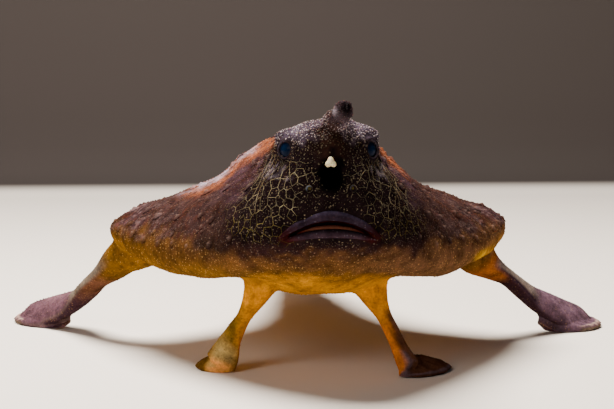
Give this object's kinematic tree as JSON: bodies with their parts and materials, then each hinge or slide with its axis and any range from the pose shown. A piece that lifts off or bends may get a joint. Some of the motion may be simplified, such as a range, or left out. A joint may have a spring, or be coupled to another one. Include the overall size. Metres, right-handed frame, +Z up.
{
  "type": "sea batfish",
  "caption": "Life-size still model of a sea batfish: flat triangular disc, domed skull with a short snout horn and lure, leg-like pelvic fins and arm-like pectoral fins it stands on.",
  "frame": {"origin": "middle of the bounding box's base, on the floor that the fins stand on", "axes": "-Y is the way the fish faces, +X is its own left side, +Z is up"},
  "size_m": [0.1852, 0.2288, 0.0754],
  "materials": {
    "mottled_skin": "rough, granular, mottled purple-brown fish skin with a pale net and amber belly",
    "amber_skin": "moist amber-yellow skin",
    "fin_skin": "purple-brown fin skin with ridged rays and pale edges",
    "lure_flesh": "cream-white soft flesh",
    "eye": "wet navy-black eye"
  },
  "bodies": {
    "root": {"head": "mottled_skin", "rostrum": "mottled_skin", "lure": "lure_flesh", "eye_left": "eye", "eye_right": "eye", "torso": "mottled_skin", "tail_base": "mottled_skin", "tail_tip": "mottled_skin", "dorsal_fin": "fin_skin", "anal_fin": "fin_skin", "caudal_fin": "fin_skin", "pectoral_arm_left": "mottled_skin", "pectoral_arm_right": "mottled_skin", "pectoral_fin_left": "fin_skin", "pectoral_fin_right": "fin_skin", "pelvic_leg_left": "amber_skin", "pelvic_leg_right": "amber_skin", "pelvic_fin_left": "fin_skin", "pelvic_fin_right": "fin_skin"}
  },
  "joints": []
}
